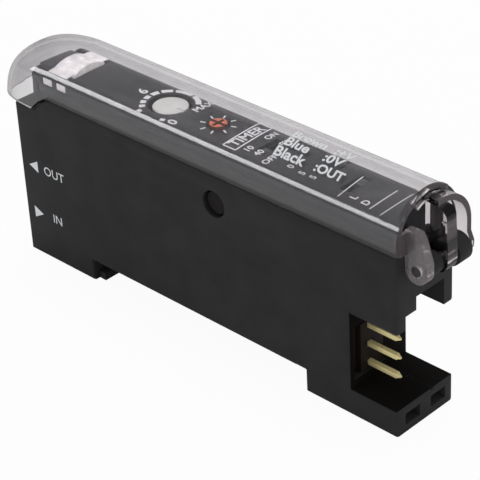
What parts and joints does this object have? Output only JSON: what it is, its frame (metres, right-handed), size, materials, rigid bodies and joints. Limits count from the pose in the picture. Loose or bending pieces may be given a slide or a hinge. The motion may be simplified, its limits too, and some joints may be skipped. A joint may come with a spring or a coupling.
{
  "type": "fibre optic sensor amplifier",
  "caption": "Slim dark sensor amplifier for rail mounting with a clear hinged cover, dial, adjuster, switches, fibre ports and a plug-in connector end",
  "frame": {"origin": "middle of the face that sits on the rail, between the two feet", "axes": "+X from the fibre end to the connector end, +Y across the slim width towards the inset side plate, +Z away from the rail"},
  "size_m": [0.0674, 0.0102, 0.0299],
  "materials": {
    "case_abs": "moulded ABS, fine texture, near black",
    "panel_abs": "moulded ABS, satin, very dark grey",
    "clear_cover": "moulded clear polycarbonate with a faint grey tint",
    "clear_lens": "moulded clear acrylic",
    "steel": "plain steel",
    "led_green": "clear resin lamp, green",
    "led_orange": "clear resin lamp, orange",
    "holder_black": "light-tight black resin",
    "ring_rubber": "soft black rubber",
    "emitter_red": "red tinted resin",
    "diode_dark": "dark filter resin",
    "lever_abs": "moulded ABS, dark grey",
    "board_green": "glass-epoxy board with green solder mask",
    "chip_black": "moulded epoxy",
    "sleeve_grey": "shrink sleeve",
    "trimmer_white": "white resin",
    "adjuster_orange": "moulded orange resin",
    "gear_acetal": "natural acetal",
    "post_brass": "turned brass",
    "dial_white": "moulded off-white resin",
    "knob_white": "moulded white resin",
    "header_nylon": "dark brown nylon",
    "gold_plate": "gold flash on brass",
    "window_dark": "dark infrared-pass resin"
  },
  "bodies": {
    "housing": {"case_body": "case_abs", "case_side": "case_abs", "operation_panel": "panel_abs", "hinge_pin": "steel", "indicator_lens": "clear_lens", "stability_led": "led_green", "operation_led": "led_orange", "fibre_holder": "holder_black", "seal_ring_out": "ring_rubber", "seal_ring_in": "ring_rubber", "emitter_led": "emitter_red", "receiver_diode": "diode_dark", "circuit_board": "board_green", "panel_board": "board_green", "shield_can": "steel", "controller_chip": "chip_black", "output_transistor": "chip_black", "smoothing_capacitor": "sleeve_grey", "link_emitter": "diode_dark", "link_receiver": "diode_dark", "sensitivity_trimmer": "trimmer_white", "idler_post": "post_brass", "dial_post": "post_brass", "timer_switch_body": "chip_black", "mode_switch_body": "chip_black", "connector_header": "header_nylon", "contact_pin_1": "gold_plate", "contact_pin_2": "gold_plate", "contact_pin_3": "gold_plate", "link_window_near": "window_dark", "link_window_far": "window_dark"},
    "cover_body": {"cover": "clear_cover"},
    "lever_body": {"lock_lever": "lever_abs"},
    "clamp_body": {"fibre_clamp": "lever_abs"},
    "adjuster_body": {"adjuster": "adjuster_orange"},
    "idler_body": {"idler_gear": "gear_acetal"},
    "dial_body": {"indicator_dial": "dial_white"},
    "timer_body": {"timer_switch_knob": "knob_white"},
    "mode_body": {"mode_switch_knob": "knob_white"},
    "latch_body": {"rail_latch": "case_abs"}
  },
  "joints": [
    {"name": "cover_hinge", "type": "hinge", "parent": "housing", "child": "cover_body", "pos_m": [0.0329, 0, 0.0189], "axis": [0, 1, 0], "range_deg": [0, 100]},
    {"name": "lock_lever_pivot", "type": "hinge", "parent": "housing", "child": "lever_body", "pos_m": [-0.0251, 0, 0.0211], "axis": [0, -1, 0], "range_deg": [0, 80]},
    {"name": "fibre_clamp_slide", "type": "slide", "parent": "housing", "child": "clamp_body", "axis": [0, 0, 1], "range_m": [0, 0.0003]},
    {"name": "sensitivity_adjuster", "type": "hinge", "parent": "housing", "child": "adjuster_body", "pos_m": [0.0013, 0, 0.022], "axis": [0, 0, 1], "range_deg": [-675, 675]},
    {"name": "idler_turn", "type": "hinge", "parent": "housing", "child": "idler_body", "pos_m": [-0.0021, 0, 0.022], "axis": [0, 0, 1], "range_deg": [-210, 210]},
    {"name": "dial_turn", "type": "hinge", "parent": "housing", "child": "dial_body", "pos_m": [-0.0064, 0, 0.022], "axis": [0, 0, 1], "range_deg": [-135, 135]},
    {"name": "timer_switch", "type": "slide", "parent": "housing", "child": "timer_body", "axis": [0, 1, 0], "range_m": [0, 0.0018]},
    {"name": "mode_switch", "type": "slide", "parent": "housing", "child": "mode_body", "axis": [0, -1, 0], "range_m": [0, 0.0018]},
    {"name": "rail_latch_slide", "type": "slide", "parent": "housing", "child": "latch_body", "axis": [1, 0, 0], "range_m": [0, 0.001], "stiffness_N_per_m": 800, "springref_m": -0.0005}
  ],
  "couplings": [
    {"joint": "lock_lever_pivot", "follows": "fibre_clamp_slide", "rad_per_m": 4654},
    {"joint": "sensitivity_adjuster", "follows": "dial_turn", "ratio": 4.9706},
    {"joint": "idler_turn", "follows": "dial_turn", "ratio": -1.5294}
  ]
}
